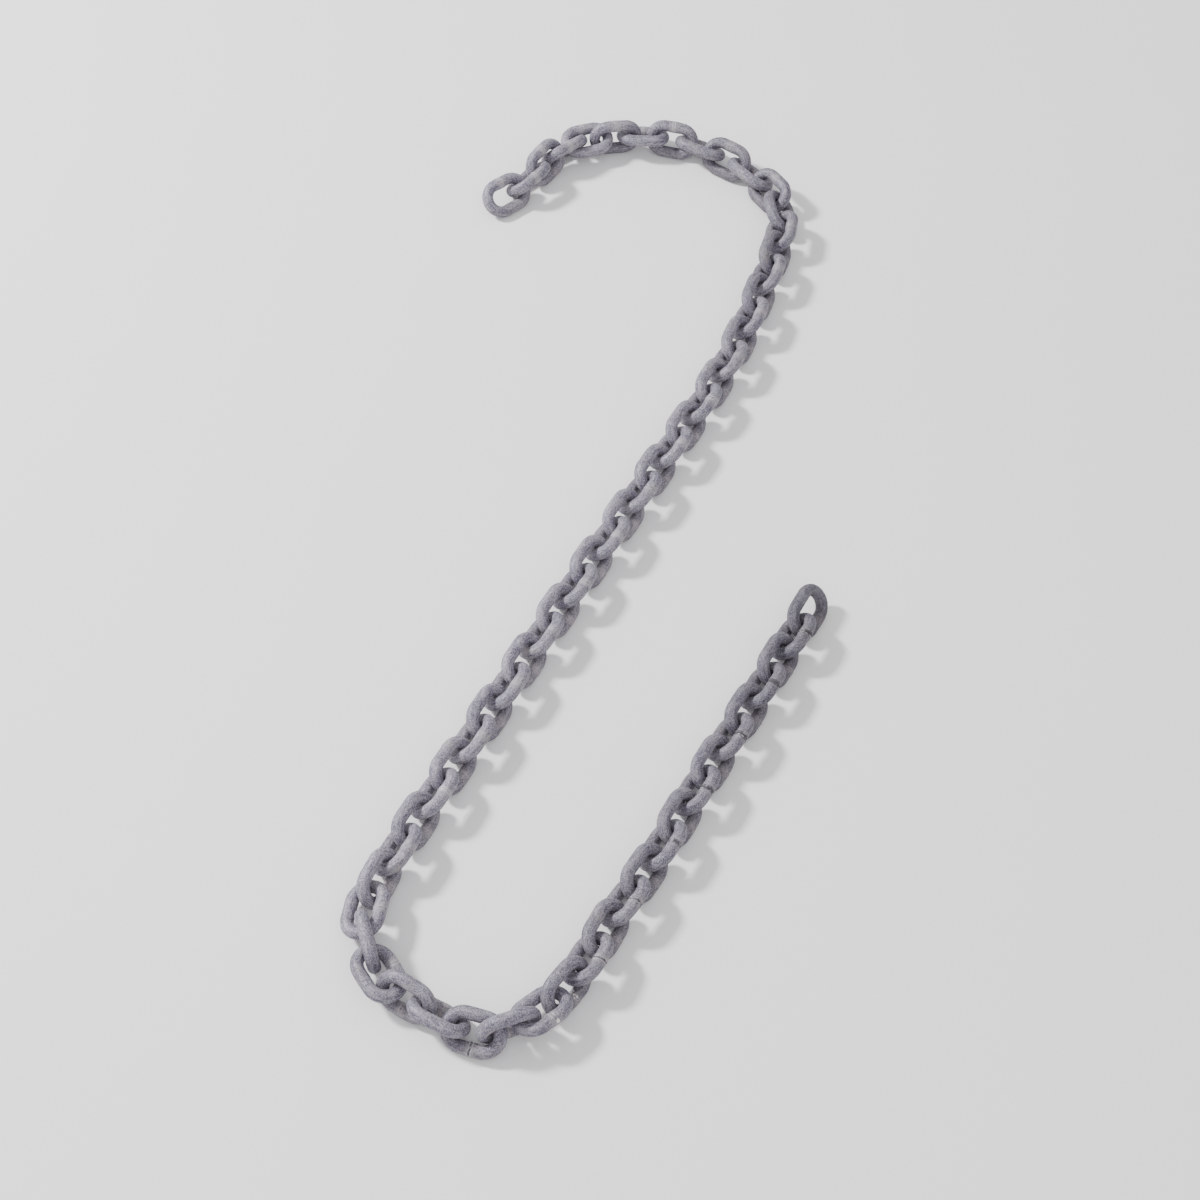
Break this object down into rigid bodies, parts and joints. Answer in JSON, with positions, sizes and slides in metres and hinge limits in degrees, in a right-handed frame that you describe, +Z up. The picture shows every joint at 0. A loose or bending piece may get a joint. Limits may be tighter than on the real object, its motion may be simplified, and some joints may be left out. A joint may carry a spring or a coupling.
{
  "type": "length of steel chain",
  "caption": "Length of galvanised round-wire short-link chain, laid in a long hook with a tight bend at the far end of its run.",
  "frame": {"origin": "middle of the outline of the laid chain, on the floor it rests on", "axes": "+Z up, +Y away from the viewer along the long way of the lay, +X to the viewer's right"},
  "size_m": [0.3422, 0.9292, 0.0344],
  "materials": {
    "zinc": "dull hot-dip galvanised, matt and mottled grey"
  },
  "bodies": {
    "root": {"link_01": "zinc", "link_02": "zinc", "link_03": "zinc", "link_04": "zinc", "link_05": "zinc", "link_06": "zinc", "link_07": "zinc", "link_08": "zinc", "link_09": "zinc", "link_10": "zinc", "link_11": "zinc", "link_12": "zinc", "link_13": "zinc", "link_14": "zinc", "link_15": "zinc", "link_16": "zinc", "link_17": "zinc", "link_18_19": "zinc", "link_20": "zinc", "link_21": "zinc", "link_22": "zinc", "link_23": "zinc", "link_24": "zinc", "link_25": "zinc", "link_26_27": "zinc", "link_28": "zinc", "link_29": "zinc", "link_30": "zinc", "link_31": "zinc", "link_32": "zinc", "link_33": "zinc", "link_34_35": "zinc", "link_36": "zinc", "link_37": "zinc", "link_38": "zinc", "link_39": "zinc", "link_40": "zinc", "link_41": "zinc", "link_42": "zinc", "link_43": "zinc", "link_44": "zinc", "link_45": "zinc", "link_46": "zinc", "link_47": "zinc", "link_48": "zinc", "link_49": "zinc", "link_50": "zinc", "link_51": "zinc", "link_52": "zinc", "link_53": "zinc", "link_54": "zinc", "link_55": "zinc", "link_56": "zinc", "link_57": "zinc", "link_58_59": "zinc", "link_60": "zinc", "link_61": "zinc", "link_62": "zinc", "link_63": "zinc", "link_64": "zinc"}
  },
  "joints": []
}
